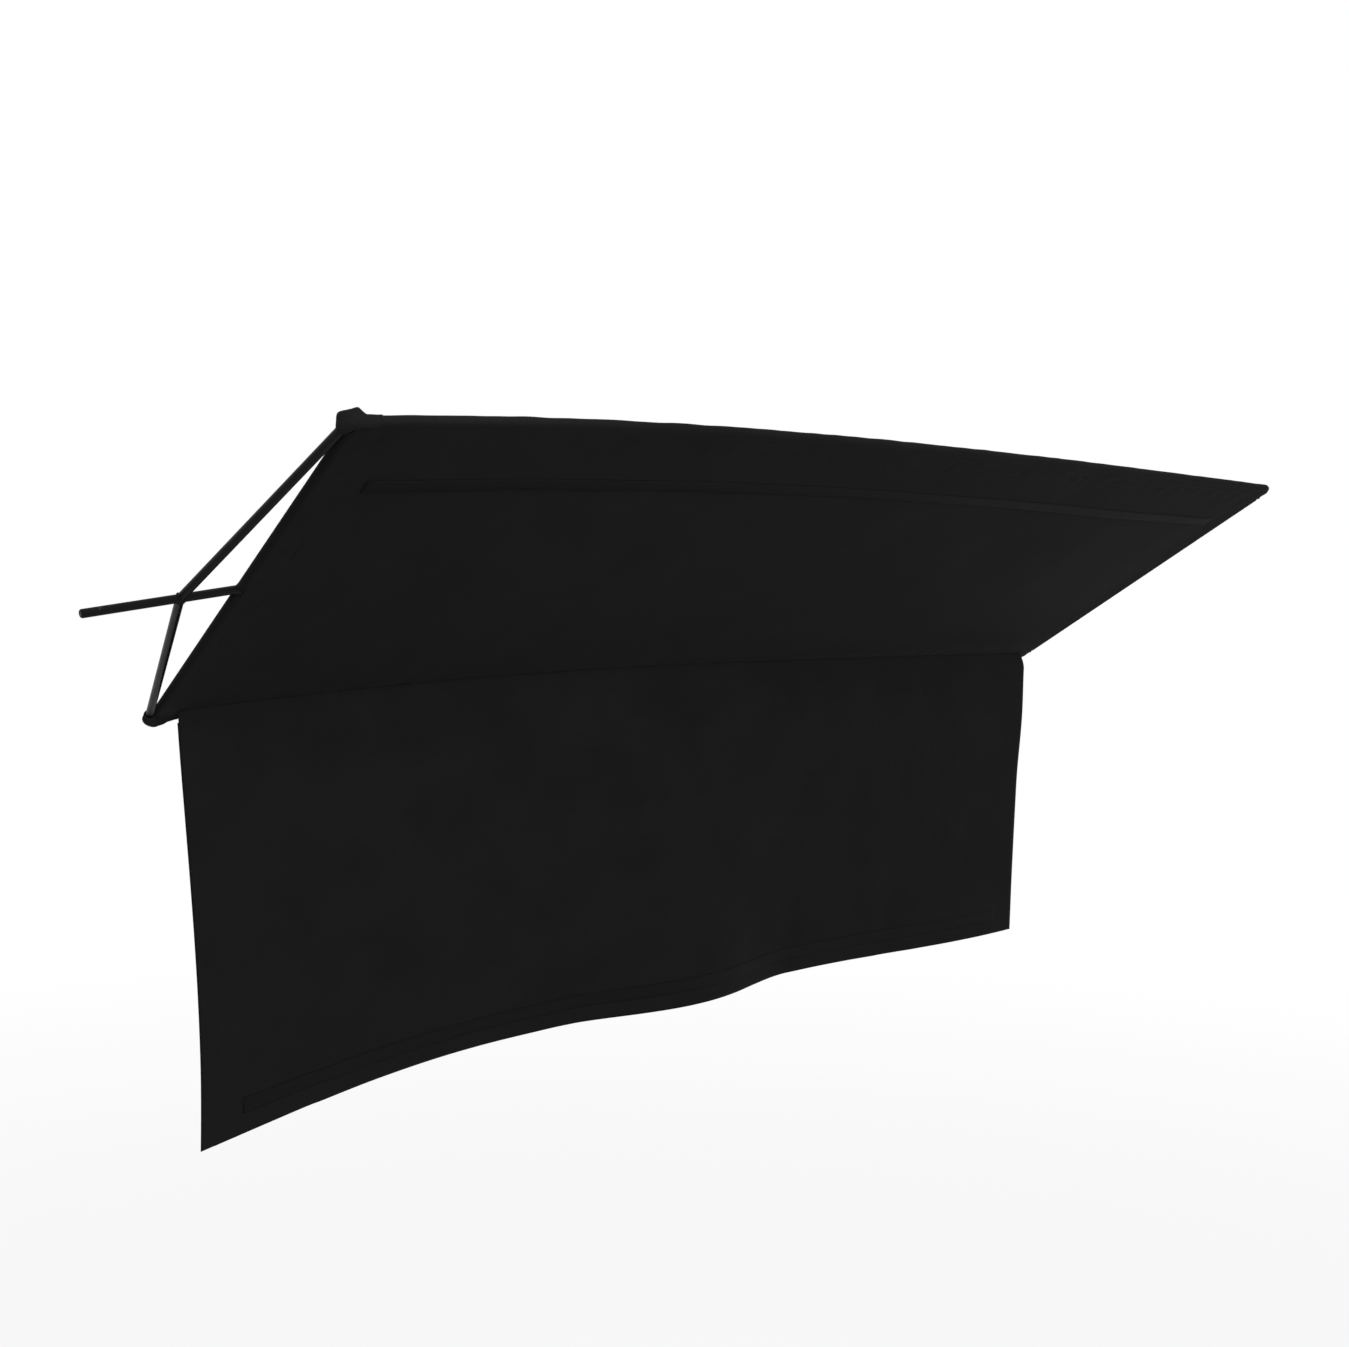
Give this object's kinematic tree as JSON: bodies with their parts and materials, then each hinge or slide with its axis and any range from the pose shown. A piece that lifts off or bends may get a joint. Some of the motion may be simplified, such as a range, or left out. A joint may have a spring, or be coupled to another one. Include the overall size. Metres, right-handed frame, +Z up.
{
  "type": "floppy cutter",
  "caption": "Black cloth cutter on a bent rod frame with a mounting pin; a cloth flap hangs from a long side and folds up under the frame.",
  "frame": {"origin": "the point of the mounting pin's axis that a grip head clamps", "axes": "+X from the pin towards the outer end, +Y towards the long side that carries the flap, +Z up; the frame stands tilted, raised and drooping as it is held in use"},
  "size_m": [2.0012, 0.5487, 0.9367],
  "materials": {
    "black_enamel": "gloss black enamel on steel rod",
    "black_duvetyne": "matte napped cotton",
    "black_nylon_tape": "hook and loop tape, matte"
  },
  "bodies": {
    "frame": {"pin": "black_enamel", "near_side_rod": "black_enamel", "far_side_rod": "black_enamel", "cross_bar": "black_enamel", "end_bar": "black_enamel", "cover_panel": "black_duvetyne", "near_rail_wrap": "black_duvetyne", "far_rail_wrap": "black_duvetyne", "outer_end_wrap": "black_duvetyne", "pin_end_wrap_near": "black_duvetyne", "pin_end_wrap_far": "black_duvetyne", "flap_header": "black_duvetyne", "loop_tape": "black_nylon_tape"},
    "hanging_flap": {"flap": "black_duvetyne", "flap_bottom_hem": "black_duvetyne", "flap_pin_side_hem": "black_duvetyne", "flap_outer_side_hem": "black_duvetyne", "hook_tape": "black_nylon_tape"}
  },
  "joints": [
    {"name": "flap_hinge", "type": "hinge", "parent": "frame", "child": "hanging_flap", "pos_m": [1.01934, 0.24091, -0.08007], "axis": [0.9983, 0, 0.059], "range_deg": [-110, 80]}
  ]
}
